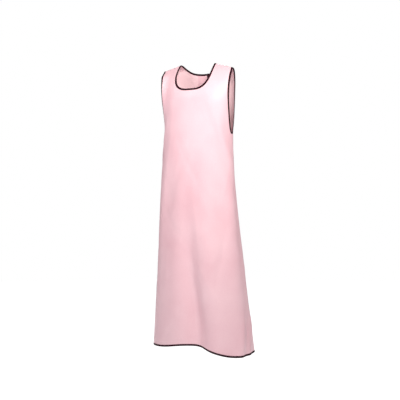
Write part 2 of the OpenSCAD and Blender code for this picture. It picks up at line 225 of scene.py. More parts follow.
# angle at the hem, lean, depth (mm) and half-width
CORNER_CREASES = ((66, 0.085, 5.0, 4.2), (77, 0.10, -5.5, 4.0), (88, 0.12, 4.5, 4.6))


def below(z, start, run):
    """0 down to start below the neck, then rising to 1 over run."""
    return smooth((-z - start) / run)


def bells(rows, angle):
    return sum(height * bell((angle - middle) / half) for height, middle, half in rows)


def drape(points):
    """Moves points of the undraped apron to where the worn cloth hangs."""
    x, y, z = points[..., 0], points[..., 1], points[..., 2]
    width = half_width(z)
    depth = np.where(y < 0, front_reach(np.maximum(1.0, -z), z), back_reach(np.maximum(20.0, -z), z))
    depth = np.maximum(depth, 30.0)
    angle = np.degrees(np.arctan2(x / width, -y / depth))
    outward = np.stack([x / width**2, y / depth**2], -1)
    outward /= np.maximum(1e-9, np.linalg.norm(outward, axis=-1, keepdims=True))
    skirt = clamp((-UNDERARM - z) / (HEM_DROP - UNDERARM))
    behind = smooth((y - BACK_FROM) / BACK_RUN)
    free = 1 - behind * (1 - smooth((np.abs(x) - BACK_STILL) / BACK_FREE))

    # the whole garment sways a little to the wearer's left
    turned = clamp((TURN_X - x) / TURN_X_RUN) ** 2 * below(z, *TURN_GROWS) * (1 - below(z, *TURN_ENDS))
    turned = turned * (1 - smooth((y - TURN_Y) / TURN_Y_RUN))
    hem_sway = skirt**HEM_SWAY_POWER
    chest_sway = CHEST_SWAY * bell((z - CHEST_SWAY_Z) / CHEST_SWAY_HALF)
    sway_x = chest_sway + HEM_SWAY[0] * hem_sway + TURN_OUT * turned
    sway_y = HEM_SWAY[1] * hem_sway - TURN_FORWARD * turned
    # the hem rises at the middle and falls at the wearer's left
    fall = bells(HEM_FALL, angle) * skirt**FALL_POWER

    # folds of the skirt, outwards from the body: a valley between the legs, and the thighs
    low = below(z, *SKIRT_GROWS)
    valley_x = VALLEY_X + VALLEY_SHIFT * below(z, *VALLEY_SHIFTS)
    valley = -VALLEY_DEPTH * low * bell((x - valley_x) / mix(*VALLEY_HALF, low))
    thighs = low * bells(THIGHS, angle)
    soft = below(z, *WAVES_GROW) * sum(
        high * np.sin(np.radians(angle * waves + z * turn + phase)) for high, waves, turn, phase in WAVES)
    # creases that run down to the left corner of the hem
    corner = below(z, *CORNER_GROWS) * sum(
        high * bell((angle - start - lean * (z + HEM_DROP)) / half)
        for start, lean, high, half in CORNER_CREASES)
    # the cloth is hollow at the chest, and creases run from under the arms
    chest = -CHEST_DEPTH * bell((z - CHEST_Z) / CHEST_TALL) * bell(angle / CHEST_WIDE)
    pull = PULL_HEIGHT * below(z, *PULL_GROWS) * (1 - below(z, *PULL_ENDS)) * sum(
        bell((turn * angle - PULL_ANGLE + PULL_LEAN * (z + UNDERARM)) / PULL_HALF) for turn in (-1, 1))
    flutes = behind * skirt * sum(
        high * np.sin(np.radians((place - start) * waves))
        for place, (high, waves, start) in zip((np.abs(angle), angle), FLUTES))
    out = (1 - behind) * (valley + thighs + chest + pull) + soft + corner + flutes + small_creases(angle, z)

    move = np.stack([sway_x, sway_y, fall], -1)
    move[..., :2] += outward * out[..., None]
    return points + move * free[..., None]


# ---- meshes ----
def new_object(name, points, faces, materials, face_slots=None, uv=None, sharp=None):
    """points in mm. uv is one pair of metres for each corner's vertex."""
    mesh = bpy.data.meshes.new(name)
    mesh.from_pydata((np.asarray(points) * MM).tolist(), [], [list(map(int, f)) for f in faces])
    for material in materials:
        mesh.materials.append(material)
    mesh.polygons.foreach_set("use_smooth", [True] * len(mesh.polygons))
    if face_slots is not None:
        mesh.polygons.foreach_set("material_index", [int(s) for s in face_slots])
    if uv is not None:
        layer = mesh.uv_layers.new(name="metres")
        corners = np.empty(len(mesh.loops), dtype=np.int32)
        mesh.loops.foreach_get("vertex_index", corners)
        layer.data.foreach_set("uv", np.asarray(uv, dtype=np.float32)[corners].ravel())
    mesh.validate()
    mesh.update()
    if sharp is not None:
        mesh.set_sharp_from_angle(angle=math.radians(sharp))
    obj = bpy.data.objects.new(name, mesh)
    bpy.context.scene.collection.objects.link(obj)
    return obj


def run_lengths(points, axis):
    steps = np.linalg.norm(np.diff(points, axis=axis), axis=-1)
    start = np.zeros_like(np.take(steps, [0], axis=axis))
    return np.concatenate([start, np.cumsum(steps, axis=axis)], axis=axis)


def shell(name, outer, inner, faces, materials, uv):
    """A closed sheet: outer face, inner face, and a wall round every free edge."""
    count = len(outer)
    sides = {}
    for face in faces:
        for a, b in zip(face, face[1:] + face[:1]):
            if (b, a) in sides:
                del sides[(b, a)]
            else:
                sides[(a, b)] = True
    walls = [[b, a, a + count, b + count] for a, b in sides]
    under = [[i + count for i in reversed(face)] for face in faces]
    slots = [0] * len(faces) + [1] * len(under) + [1] * len(walls)
    return new_object(name, np.concatenate([outer, inner]), faces + under + walls, materials, slots,
                      np.concatenate([uv, uv]), sharp=50)


def grid_faces(rows, cols, flip=False):
    faces = []
    for i in range(rows - 1):
        for j in range(cols - 1):
            a = i * cols + j
            face = [a, a + 1, a + cols + 1, a + cols]
            faces.append(face[::-1] if flip else face)
    return faces


def lengths_uv(points):
    """Lengths along the columns and rows of a grid, in metres."""
    return np.stack([run_lengths(points, 1), run_lengths(points, 0)], -1).reshape(-1, 2) * MM


def sheet_grid(name, side, x, z, out_lift, in_lift, materials, flip):
    """A sheet on a grid of places; rows go up, columns go along +X unless flip."""
    outer = drape(body(side, x, z, out_lift)).reshape(-1, 3)
    inner = drape(body(side, x, z, in_lift)).reshape(-1, 3)
    return shell(name, outer, inner, grid_faces(*x.shape, flip=flip), materials, lengths_uv(body(side, x, z)))


# ---- outlines: finished edges, with an inset into the cloth (mm) ----
def power_arc(angle, half, depth, power):
    """A rounded neckline: angle 0 is its lowest point, +-90 degrees its ends."""
    s, c = np.sin(angle), np.cos(angle)
    x = half * np.sign(s) * np.abs(s) ** (2 / power)
    return x, shoulder_z(x) - depth * np.maximum(0, c) ** (2 / power)


def neck_front_edge(angle, inset):
    x, z = power_arc(angle, NECK_HALF + inset, NECK_FRONT + inset, NECK_POWER)
    return FRONT + 0 * x, x, z


def neck_back_edge(angle, inset):
    x, z = power_arc(angle, NECK_HALF + inset, NECK_BACK + inset, BACK_NECK_POWER)
    return BACK + 0 * x, x, z


def arm_edge(t, inset):
    """t runs from -1 at the shoulder tip, down the front, 0 at the underarm, to 1 up the back."""
    low = -UNDERARM - inset
    top = shoulder_z(TIP_HALF - inset)
    z = mix(low, top, t * t)
    x = half_width(z) * (1 - (1 - (TIP_HALF - inset) / TIP_RING) * t * t)
    return np.where(t < 0, FRONT, BACK), x, z


def arm_half(z, inset):
    """Half-width of the cloth at a height, up to the armhole's edge or the side seam."""
    low = -UNDERARM - inset
    share = clamp((z - low) / (shoulder_z(TIP_HALF - inset) - low))
    return half_width(z) * (1 - (1 - (TIP_HALF - inset) / TIP_RING) * share)


ARM_TURNS = np.linspace(0.0, 1.0, 200)
MOST_WIDENING = 2.2
FINE_STEPS = 1500  # of an outline that is measured


def arm_widening():
    """How many times wider an inset is along arm_edge's steps than square to the edge."""
    edge, inner = (body(FRONT, *arm_edge(-ARM_TURNS, inset)[1:]) for inset in (0.0, 1.0))
    along = np.gradient(edge, axis=0)
    along /= np.linalg.norm(along, axis=1, keepdims=True)
    step = inner - edge
    square = step - along * (step * along).sum(1, keepdims=True)
    return np.clip(1 / np.linalg.norm(square, axis=1), 1.0, MOST_WIDENING)


ARM_WIDENING = arm_widening()


def arm_band(t, inset):
    """The armhole's edge, with an even inset."""
    return arm_edge(t, inset * np.interp(np.abs(t), ARM_TURNS, ARM_WIDENING))


def even(edge, start, end, pitch):
    """Parameter values along an outline, pitch apart on the draped cloth."""
    t = np.linspace(start, end, FINE_STEPS)
    side, x, z = edge(t, TRIM_W / 2)
    along = run_lengths(drape(body(side, x, z)), 0)
    count = max(2, int(round(along[-1] / pitch)))
    return np.interp(np.linspace(0, along[-1], count + 1), along, t), along[-1]


def lap_rise(x):
    """Lift of the left flap, where it lies over the right one."""
    return RISE * smooth((RISE_START - x) / (RISE_START - FLAP_EDGE))


def no_lift(x):
    return 0 * x


RISES = {"left": lap_rise, "right": no_lift}


def hem_edge(side):
    def edge(t, inset):
        z = -HEM_DROP + inset + 0 * t
        return side + 0 * t, half_width(z) * np.sin(t), z
    return edge


# ---- materials ----
def srgb(r, g, b):
    """Linear colour, with alpha, from 0 to 255 in sRGB."""
    shares = [c / 255 for c in (r, g, b)]
    return tuple(c / 12.92 if c <= 0.04 else ((c + 0.055) / 1.055) ** 2.4 for c in shares) + (1.0,)


class Nodes:
    """Short calls for one material's node tree."""

    def __init__(self, name):
        self.material = bpy.data.materials.new(name)
        self.material.use_nodes = True
        self.tree = self.material.node_tree
        self.shader = self.tree.nodes["Principled BSDF"]

    def add(self, kind, inputs=(), **settings):
        node = self.tree.nodes.new(kind)
        for key, value in settings.items():
            setattr(node, key, value)
        for key, value in dict(inputs).items():
            self.put(node, key, value)
        return node

    def put(self, node, key, value):
        if isinstance(value, bpy.types.NodeSocket):
            self.tree.links.new(value, node.inputs[key])
        else:
            node.inputs[key].default_value = value

    def math(self, operation, a, b=0.0, c=0.0, clamped=False):
        node = self.add("ShaderNodeMath", {0: a, 1: b, 2: c}, operation=operation, use_clamp=clamped)
        return node.outputs[0]

    def noise(self, place, scale, detail=3.0, rough=0.5):
        node = self.add("ShaderNodeTexNoise", {
            "Vector": place, "Scale": scale, "Detail": detail, "Roughness": rough})
        return node.outputs["Fac"]

    def ramp(self, factor, stops):
        node = self.add("ShaderNodeValToRGB", {"Fac": factor})
        band = node.color_ramp
        while len(band.elements) < len(stops):
            band.elements.new(0.5)
        for element, (position, color) in zip(band.elements, stops):
            element.position = position
            element.color = color
        return node.outputs["Color"]

    def mix_color(self, factor, first, second):
        node = self.add("ShaderNodeMix", data_type="RGBA")
        for socket, value in ((0, factor), (6, first), (7, second)):
            self.put(node, socket, value)
        return node.outputs[2]

    def span(self, value, low, high, from_low=0.0, from_high=1.0):
        node = self.add("ShaderNodeMapRange", {
            "Value": value, "From Min": from_low, "From Max": from_high, "To Min": low, "To Max": high})
        return node.outputs["Result"]

    def bump(self, height, distance, strength, before=None):
        inputs = {"Height": height, "Distance": distance, "Strength": strength}
        if before is not None:
            inputs["Normal"] = before
        return self.add("ShaderNodeBump", inputs).outputs["Normal"]

    def weave(self, pitch_u, pitch_v):
        """Plain weave: threads along U and V pass over and under each other. Pitches in metres."""
        metres = self.add("ShaderNodeUVMap", uv_map="metres").outputs["UV"]
        uv = self.add("ShaderNodeSeparateXYZ", {"Vector": metres})
        u = self.math("SINE", self.math("MULTIPLY", uv.outputs["X"], math.pi / pitch_u))
        v = self.math("SINE", self.math("MULTIPLY", uv.outputs["Y"], math.pi / pitch_v))
        over = self.math("MULTIPLY", u, v)
        ribs = self.math("ADD", self.math("ABSOLUTE", u), self.math("ABSOLUTE", v))
        return self.math("MULTIPLY_ADD", over, 0.35, self.math("MULTIPLY", ribs, 0.5))


def cloth_material(name, colors, roughness, pitch, bumps, coat=0.0, sheen=0.0, crumple=0.0, spots=0.0,
                   specular=0.4):
    """Woven cloth. colors: deep, middle and pale stops of its slow colour variation."""
    n = Nodes(name)
    place = n.add("ShaderNodeTexCoord").outputs["Object"]
    slow = n.noise(place, 5.5, 2.0)
    fine = n.noise(place, 160.0, 3.0, 0.6)
    threads = n.weave(*pitch)
    tone = n.math("MULTIPLY_ADD", fine, 0.25, n.math("MULTIPLY", slow, 0.75))
    tone = n.math("MULTIPLY_ADD", threads, 0.06, tone)
    color = n.ramp(tone, [(0.30, srgb(*colors[0])), (0.52, srgb(*colors[1])), (0.74, srgb(*colors[2]))])
    n.put(n.shader, "Base Color", color)
    rubbed = n.noise(place, 26.0, 4.0, 0.6)
    n.put(n.shader, "Roughness", n.span(rubbed, roughness - 0.07, roughness + 0.07, 0.3, 0.7))
    normal = n.bump(threads, 0.0001, bumps)
    if crumple:
        creases = n.add("ShaderNodeTexNoise", {
            "Vector": place, "Scale": 17.0, "Detail": 2.0, "Distortion": 0.6})
        normal = n.bump(creases.outputs["Fac"], 0.0016, crumple, normal)
    if spots:
        grain = n.add("ShaderNodeTexVoronoi", {"Vector": place, "Scale": 900.0})
        normal = n.bump(grain.outputs["Distance"], 0.0001, spots, normal)
    n.put(n.shader, "Normal", normal)
    n.shader.inputs["Coat Weight"].default_value = coat
    n.shader.inputs["Coat Roughness"].default_value = 0.32
    n.shader.inputs["Sheen Weight"].default_value = sheen
    n.shader.inputs["Sheen Roughness"].default_value = 0.45
    n.shader.inputs["Specular IOR Level"].default_value = specular
    return n.material


def thread_material(name, colors):
    """Twisted thread: a slanted bump along each stitch."""
    n = Nodes(name)
    place = n.add("ShaderNodeTexCoord").outputs["Object"]
    twist = n.add("ShaderNodeTexWave", {"Vector": place, "Scale": 900.0, "Distortion": 1.5},
                  bands_direction="DIAGONAL")
    fade = n.noise(place, 40.0, 2.0)
    n.put(n.shader, "Base Color", n.ramp(fade, [(0.35, srgb(*colors[0])), (0.65, srgb(*colors[1]))]))
    n.put(n.shader, "Normal", n.bump(twist.outputs["Fac"], 0.0001, 0.5))
    n.put(n.shader, "Roughness", n.span(fade, 0.45, 0.65))
    return n.material


def metal_material(name, colors, roughness, worn, metallic=1.0, coat=0.0):
    """Pressed snap: fine turning marks, with the raised edges rubbed."""
    n = Nodes(name)
    place = n.add("ShaderNodeTexCoord").outputs["Object"]
    geometry = n.add("ShaderNodeNewGeometry")
    edge = n.span(geometry.outputs["Pointiness"], 0.0, 1.0, 0.53, 0.66)
    marks = n.noise(place, 1400.0, 2.0, 0.5)
    stain = n.noise(place, 90.0, 3.0)
    base = n.ramp(stain, [(0.35, srgb(*colors[0])), (0.65, srgb(*colors[1]))])
    rubbed = n.math("MULTIPLY", edge, n.span(stain, 0.3, 0.8, 0.35, 0.65), clamped=True)
    n.put(n.shader, "Base Color", n.mix_color(rubbed, base, srgb(*worn)))
    n.put(n.shader, "Roughness", n.span(marks, roughness - 0.04, roughness + 0.08, 0.3, 0.7))
    n.put(n.shader, "Normal", n.bump(marks, 0.00002, 0.2))
    n.shader.inputs["Metallic"].default_value = metallic
    n.shader.inputs["Coat Weight"].default_value = coat
    return n.material


PINK = cloth_material("coated_pink", ((228, 180, 191), (233, 190, 200), (238, 199, 208)), 0.46,
                      (0.0007, 0.0007), 0.7, coat=0.12, sheen=0.06, crumple=0.5)
BACKING = cloth_material("cloth_back", ((236, 196, 205), (241, 206, 213), (245, 214, 220)), 0.75,
                         (0.00062, 0.00062), 0.6, sheen=0.25, crumple=0.22)
MAROON = cloth_material("binding_maroon", ((30, 2, 12), (40, 5, 18), (54, 12, 28)), 0.78,
                        (0.0011, 0.0005), 0.6, specular=0.2)
TAPE = cloth_material("seam_tape_pink", ((228, 172, 184), (233, 182, 193), (238, 190, 200)), 0.38,
                      (0.0009, 0.0009), 0.3, coat=0.3, spots=0.25)
SATIN = cloth_material("label_satin", ((232, 230, 226), (240, 238, 235), (246, 245, 243)), 0.36,
                       (0.0004, 0.0002), 0.4, sheen=0.2)
THREAD_DARK = thread_material("thread_maroon", ((40, 8, 20), (58, 16, 32)))
THREAD_PINK = thread_material("thread_pink", ((226, 165, 180), (236, 182, 194)))
CAP = metal_material("snap_cap_enamel", ((206, 128, 146), (216, 142, 158)), 0.24, (240, 222, 226),
                     metallic=0.0, coat=0.5)
NICKEL = metal_material("snap_nickel", ((168, 166, 162), (198, 196, 190)), 0.28, (226, 224, 220))


# ---- the front panel ----
QUARTER = math.pi / 2
# the last columns before the side seam, by angle, and how far each is drawn in there
PLAIN_ANGLE = 87
SEAM_ANGLES = (88.3, 89.2, 89.7, 89.98)
SEAM_DIPS = (0.96, 0.7, 0.2, SEWN_DIP)
FRONT_ROWS, FRONT_COLUMNS, FRONT_NECK_PITCH = 156, 48, 4.6
ARM_JOIN_Z = -262.0  # the row that starts at the middle of the neckline ends here on the armhole
FRONT_DIP_RUN, BACK_DIP_RUN = 4.0, 0.05  # the cloth is drawn in this far below the shoulder seam


def front_panel():
    angles = np.radians(np.concatenate([np.linspace(0, PLAIN_ANGLE, FRONT_COLUMNS), SEAM_ANGLES]))
    share = np.sin(angles) / np.sin(angles[-1])
    # inner ends of the rows: up the middle to the neckline, then along it to the shoulder
    hem = -HEM_DROP + EDGE_IN
    middle = np.linspace(hem, -(NECK_FRONT + EDGE_IN), FRONT_ROWS)
    neck_t, _ = even(neck_front_edge, 0.0, QUARTER, FRONT_NECK_PITCH)
    _, neck_x, neck_z = neck_front_edge(neck_t, EDGE_IN)
    inner_x = np.concatenate([0 * middle, neck_x[1:]])
    inner_z = np.concatenate([middle, neck_z[1:]])
    # outer ends: up the side seam, then along the armhole to the shoulder tip
    low, top = -UNDERARM - EDGE_IN, float(shoulder_z(TIP_HALF - EDGE_IN))
    outer_low = mix(hem, ARM_JOIN_Z, (middle - hem) / (middle[-1] - hem))
    join_t = math.sqrt((ARM_JOIN_Z - low) / (top - low))
    outer_top = mix(low, top, np.linspace(join_t, 1.0, len(neck_t)) ** 2)
    outer_z = np.concatenate([outer_low, outer_top[1:]])
    # across: straight rows in the cloth, as shares of its half-width
    z = mix(inner_z[:, None], outer_z[:, None], share)
    start = (inner_x / arm_half(inner_z, EDGE_IN))[:, None]
    x = arm_half(z, EDGE_IN) * mix(start, 1.0, share)
    z = np.minimum(z, shoulder_z(x))  # the shoulder's row lies on the ridge
    dip = np.concatenate([[1.0] * FRONT_COLUMNS, SEAM_DIPS])
    dip = dip * mix(SEWN_DIP, 1.0, np.sqrt(clamp((shoulder_z(x) - z) / FRONT_DIP_RUN)))

    def vertex(turn, i, j):
        """The two halves share the middle column, up to the neckline."""
        return (i, 0, 0) if j == 0 and i < FRONT_ROWS else (i, j, turn)

    rows, cols = x.shape
    places, index, faces = [], {}, []
    for turn in (-1, 1):
        for i in range(rows):
            for j in range(cols):
                if vertex(turn, i, j) not in index:
                    index[vertex(turn, i, j)] = len(places)
                    places.append((turn, i, j))
    for turn in (-1, 1):
        for i in range(rows - 1):
            for j in range(cols - 1):
                corners = ((i, j), (i, j + 1), (i + 1, j + 1), (i + 1, j))
                face = [index[vertex(turn, *at)] for at in corners]
                faces.append(face if turn > 0 else face[::-1])

    flat = body(FRONT, x, z)
    across = run_lengths(flat, 1) + x[:, :1]
    turn, i, j = np.array(places).T
    uv = np.stack([np.where(j > 0, turn * across[i, j], 0), flat[i, j, 2]], -1) * MM
    x, z, dip = turn * x[i, j], z[i, j], dip[i, j]
    outer = drape(body(FRONT, x, z, CLOTH_OUT * dip))
    inner = drape(body(FRONT, x, z, CLOTH_IN - DIP_DEPTH * (1 - dip)))
    return shell("front_panel_cloth", outer, inner, faces, [PINK, BACKING], uv)


# ---- a back panel: side back and flap in one cloth ----
BACK_ROWS, BACK_COLUMNS, BACK_NECK_PITCH = 150, 26, 5.0
BEND, BEND_ROWS = 90.0, 25  # the rows over the shoulder


def back_panel(word, mirror):
    start, neck_half = -FLAP_EDGE + EDGE_IN, NECK_HALF + EDGE_IN
    # columns by where they meet the top: the neckline, then the shoulder
    turn = math.asin((-start / neck_half) ** (BACK_NECK_POWER / 2))
    neck_t, _ = even(neck_back_edge, -turn, QUARTER, BACK_NECK_PITCH)
    _, neck_x, neck_z = neck_back_edge(neck_t, EDGE_IN)
    angles = np.radians(np.concatenate([np.linspace(0, PLAIN_ANGLE, BACK_COLUMNS)[1:], SEAM_ANGLES]))
    shoulder_x = mix(neck_half, TIP_HALF - EDGE_IN, np.sin(angles) / np.sin(angles[-1]))
    top_x = np.concatenate([neck_x, shoulder_x])
    top_z = np.concatenate([neck_z, shoulder_z(shoulder_x)])
    share = (top_x - start) / (arm_half(top_z, EDGE_IN) - start)
    share[-1] = 1.0
    # rows from the hem: even, then by angle over the shoulder
    hem = -HEM_DROP + EDGE_IN
    over_shoulder = BEND * (1 - np.sin(np.linspace(0, QUARTER, BEND_ROWS)[1:]))
    level = np.concatenate([np.linspace(hem, -BEND, BACK_ROWS), -over_shoulder])
    level[-1] = 0.0
    z = mix(hem, top_z, ((level - hem) / -hem)[:, None])
    x = mix(start, arm_half(z, EDGE_IN), share)
    z = np.minimum(z, shoulder_z(x))
    dip = np.ones_like(x)
    dip[:, -len(SEAM_DIPS):] = SEAM_DIPS
    sewn = mix(SEWN_DIP, 1.0, np.sqrt(clamp((shoulder_z(x) - z) / BACK_DIP_RUN)))
    dip = np.where(top_x > NECK_HALF, dip * sewn, dip)
    over = RISES[word](x)
    return sheet_grid(word + "_back_cloth", BACK, mirror * x, z, CLOTH_OUT * dip + over,
                      CLOTH_IN - DIP_DEPTH * (1 - dip) + over, [PINK, BACKING], flip=mirror > 0)


# ---- bindings: woven tape folded over an edge ----
# (inset from the finished edge, lift), round the outside, then back round the inside
BINDING = np.array([
    (8.95, 0.66), (9.1, 0.86), (8.85, 1.08), (7.6, 1.10), (6.2, 1.22), (3.6, 1.30), (1.5, 1.18), (0.45, 0.88),
    (0.0, 0.22), (0.42, -0.42), (1.5, -0.74), (3.6, -0.86), (6.2, -0.80), (7.6, -0.70), (8.85, -0.70),
    (9.1, -0.5), (8.95, -0.26), (6.0, -0.22), (1.6, -0.22), (1.0, 0.0), (0.85, 0.22), (1.0, 0.46),
    (1.6, 0.62), (6.0, 0.62)])
# the profile's inner point that faces each outer one, used to close an end of the tape
FACING_POINTS = (0, 0, 23, 23, 23, 22, 22, 21, 20, 19, 18, 18, 17, 17, 17, 16, 16)
BINDING_PITCH = 4.0
MIDDLE_LIFT = 0.2  # above it a point is on the tape's outer half
WAVER, WAVER_TURN, WAVER_FROM, WAVER_ABOVE = 0.07, 2.1, 4, 1.05


def binding(name, edge, start, end, extra, mirror, closed, swell):
    """edge(t, inset) gives side, x and z. extra(x) is a further lift; swell(z) opens the fold."""
    t, length = even(edge, start, end, BINDING_PITCH)
    if closed:
        t = t[:-1]
    inset, lift = BINDING.T
    side, x, z = edge(t[:, None], inset + 0 * t[:, None])
    # tiny waves where the needle draws the tape in
    waver = 1 + WAVER * np.sin(np.arange(len(t)) * WAVER_TURN)[:, None] * (inset > WAVER_FROM)
    lifts = np.where(lift > WAVER_ABOVE, lift * waver, lift)
    lifts = lifts + extra(x) + swell(z) * np.sign(lift - MIDDLE_LIFT)
    points = drape(body(side, mirror * x, z, lifts))
    rows, cols = lifts.shape
    around = np.concatenate([[0], np.cumsum(np.hypot(*np.diff(BINDING, axis=0).T))])
    uv = np.stack(np.broadcast_arrays(np.linspace(0, length, rows)[:, None], around), -1)
    faces = []
    for i in range(rows if closed else rows - 1):
        here, there = i * cols, (i + 1) % rows * cols
        for j in range(cols):
            k = (j + 1) % cols
            faces.append([here + j, here + k, there + k, there + j])
    if not closed:
        for here, flip in ((0, False), ((rows - 1) * cols, True)):
            for j in range(len(FACING_POINTS) - 1):
                corners = (j, j + 1, FACING_POINTS[j + 1], FACING_POINTS[j])
                face = [here + corner for corner in dict.fromkeys(corners)]
                if len(face) > 2:
                    faces.append(face if flip else face[::-1])
    if mirror < 0:
        faces = [face[::-1] for face in faces]
    return new_object(name, points.reshape(-1, 3), faces, [MAROON], uv=uv.reshape(-1, 2) * MM, sharp=70)


# ---- stitches (mm) ----
STITCH_IN, OUT_LIFT, IN_LIFT = 7.5, 1.12, -0.74  # from a binding's edge, and on its two faces
STITCH_PITCH, STITCH_LONG, STITCH_RADIUS, STITCH_SIDES = 4.0, 3.0, 0.31, 6
STITCH_STRETCH = 1.3  # the most that a stitch may grow where the cloth is wider
# rings of one stitch: place along it, width and height, as shares
STATIONS = ((-0.5, 0.35, -0.5), (-0.33, 0.85, 0.1), (0.0, 1.0, 0.32), (0.33, 0.85, 0.1), (0.5, 0.35, -0.5))
FLATTEN, CROWN = 0.7, 0.8


def stitch_row(runs, material, name):
    """runs: rows of heads, tails and normals (mm), with one stitch for each."""
    turns = np.linspace(0, 2 * math.pi, STITCH_SIDES, endpoint=False)
    points, faces = [], []
    for heads, tails, normals in runs:
        along = tails - heads
        size = np.linalg.norm(along, axis=1, keepdims=True)
        along = along / size
        centre = (heads + tails) / 2
        across = np.cross(normals, along)
        across /= np.linalg.norm(across, axis=1, keepdims=True)
        up = np.cross(along, across)
        length = np.minimum(size * STITCH_LONG / STITCH_PITCH, STITCH_LONG * STITCH_STRETCH)
        for k in range(len(heads)):
            base = len(points)
            for shift, wide, high in STATIONS:
                middle = centre[k] + along[k] * shift * length[k] + up[k] * high * STITCH_RADIUS * CROWN
                for turn in turns:
                    offset = math.cos(turn) * across[k] + math.sin(turn) * FLATTEN * up[k]
                    points.append(middle + offset * STITCH_RADIUS * wide)
            for ring in range(base, base + (len(STATIONS) - 1) * STITCH_SIDES, STITCH_SIDES):
                for r in range(STITCH_SIDES):
                    a, b = ring + r, ring + (r + 1) % STITCH_SIDES
                    faces.append([a, b, b + STITCH_SIDES, a + STITCH_SIDES])
            faces.append([base + r for r in range(STITCH_SIDES)][::-1])
            faces.append(list(range(len(points) - STITCH_SIDES, len(points))))
    return new_object(name, np.array(points), faces, [material])


def edge_run(edge, start, end, inset, lift, extra, mirror, swell=no_lift):
    """Points along an outline, one stitch apart, with the cloth's normal."""
    t, _ = even(edge, start, end, STITCH_PITCH)
    side, x, z = edge(t, inset)
    out = math.copysign(1.0, lift)
    lifts = lift + extra(x) + swell(z) * out
    points = drape(body(side, mirror * x, z, lifts))
    normals = drape(body(side, mirror * x, z, lifts + out)) - points
    normals /= np.linalg.norm(normals, axis=1, keepdims=True)
    return points[:-1], points[1:], normals[:-1]


# ---- pieces by the fold: its line is worked out, and the piece's transform is baked ----
BACKWARDS = 0.3  # across the fold, for each 1 towards the middle


def over_fold(piece, mirror):
    low = Vector((mirror * FOLD_HEM[0], FOLD_HEM[1], -HEM_DROP))
    high = Vector((mirror * FOLD_TOP[0], FOLD_TOP[1], FOLD_TOP_Z))
    line = (low - high).normalized()
    across = Vector((-mirror, BACKWARDS, 0.0))
    across = (across - line * across.dot(line)).normalized()
    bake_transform(piece)


front = front_panel()
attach(front, "apron")
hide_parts("front_panel")

backs = {}
for word, mirror in SIDES:
    backs[word] = back_panel(word, mirror)
    over_fold(backs[word], mirror)
    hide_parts(word + "_side_back", word + "_back_flap")


def bind(name, seam_name, node, edge, start, end, where=None, word="", mirror=1, closed=False,
         swell=no_lift):
    """A binding with its stitches, which rides on where, or else stays unparented, with its transform baked.
    """
    extra = RISES.get(word, no_lift)
    piece = binding(name, edge, start, end, extra, mirror, closed, swell)
    runs = [edge_run(edge, start, end, STITCH_IN, lift, extra, mirror, swell) for lift in (OUT_LIFT, IN_LIFT)]
    seam = stitch_row(runs, THREAD_DARK, seam_name)
    for obj in (piece, seam):
        if where:
            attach(obj, where)
        else:
            over_fold(obj, mirror)
    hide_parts(node)


END_SHORT, END_PAST = 0.4, 0.3  # ends of bindings, from the edge that they meet
NECK_END = -math.asin(((FLAP_EDGE - END_SHORT) / (NECK_HALF + TRIM_W)) ** (BACK_NECK_POWER / 2))
HEM_END = -math.asin((FLAP_EDGE - END_SHORT) / HEM_HALF)
SWELL, SWELL_REACH, SWELL_RUN = 0.66, 13, 4  # where a back edge's tape goes over the ends of two others


def back_neck_z(x):
    share = np.clip(np.abs(x) / NECK_HALF, 0, 1)
    return -NECK_BACK * (1 - share**BACK_NECK_POWER) ** (1 / BACK_NECK_POWER)


def back_edge(t, inset):
    x = -FLAP_EDGE + inset + 0 * t
    return BACK + 0 * t, x, mix(-HEM_DROP - END_PAST, back_neck_z(x) + END_PAST, t)


def end_swell(z):
    high, low = z + NECK_BACK + SWELL_REACH, SWELL_REACH - HEM_DROP - z
    return SWELL * (smooth(high / SWELL_RUN) + smooth(low / SWELL_RUN))


bind("neck_binding_front", "neck_stitching_front", "neck_binding",
     neck_front_edge, -QUARTER, QUARTER, where="apron")
for word, mirror in SIDES:
    bind(word + "_neck_binding_back", word + "_neck_stitching_back", "neck_binding_%s_end" % word,
         neck_back_edge, NECK_END, QUARTER, word=word, mirror=mirror)
for word, mirror in SIDES:
    bind(word + "_armhole_tape", word + "_armhole_stitching", word + "_armhole_binding",
         arm_band, -1.0, 1.0, where="apron", mirror=mirror, closed=True)
bind("hem_tape_front", "hem_stitching_front", "hem_binding",
     hem_edge(FRONT), -QUARTER, QUARTER, where="apron")
for word, mirror in SIDES:
    bind(word + "_hem_tape_back", word + "_hem_stitching_back", "hem_binding_%s_end" % word,
         hem_edge(BACK), HEM_END, QUARTER, word=word, mirror=mirror)
for word, mirror in SIDES:
    bind(word + "_back_edge_tape", word + "_back_edge_stitching", word + "_back_edge_binding",
         back_edge, 0.0, 1.0, where=word + "_flap", word=word, mirror=mirror, swell=end_swell)

# ---- facings, seam tapes and seam stitching ----
ABOVE = 0.05  # of a facing's stitches, off each face
SEAM_ABOVE = 0.02  # of the other seams' stitches
GAP = 0.6  # between a tape or facing and a binding
FACING_END, FACING_SEAM = 33.0, 31.0
SIDE_TURNS = np.radians([-5.0, -4.0, -2.5, -1.0, 0.0, 1.0, 2.5, 4.0, 5.0])
SIDE_SEAM = 3.5  # of the stitches from the side seam
SHOULDER_PARTS = np.array([-1.0, -0.7, -0.4, -0.15, 0.0, 0.15, 0.4, 0.7, 1.0])[:, None]
SHOULDER_DROPS = {FRONT: 7.5, BACK: 0.16}  # from the ridge to the tape's edges
SHOULDER_SEAMS = {FRONT: 3.0, BACK: 0.03}  # and to the stitches


def facing_edge(t, inset):
    return BACK + 0 * t, FACING_SEAM + 0 * t, mix(-HEM_DROP + 12, -NECK_BACK - 6, t)


def side_edge(side):
    def edge(t, inset):
        z = mix(-HEM_DROP + 10, -UNDERARM - 10, t)
        return side + 0 * t, half_width(z) * np.cos(SIDE_SEAM / reach(side, np.maximum(1.0, -z), z)), z
    return edge


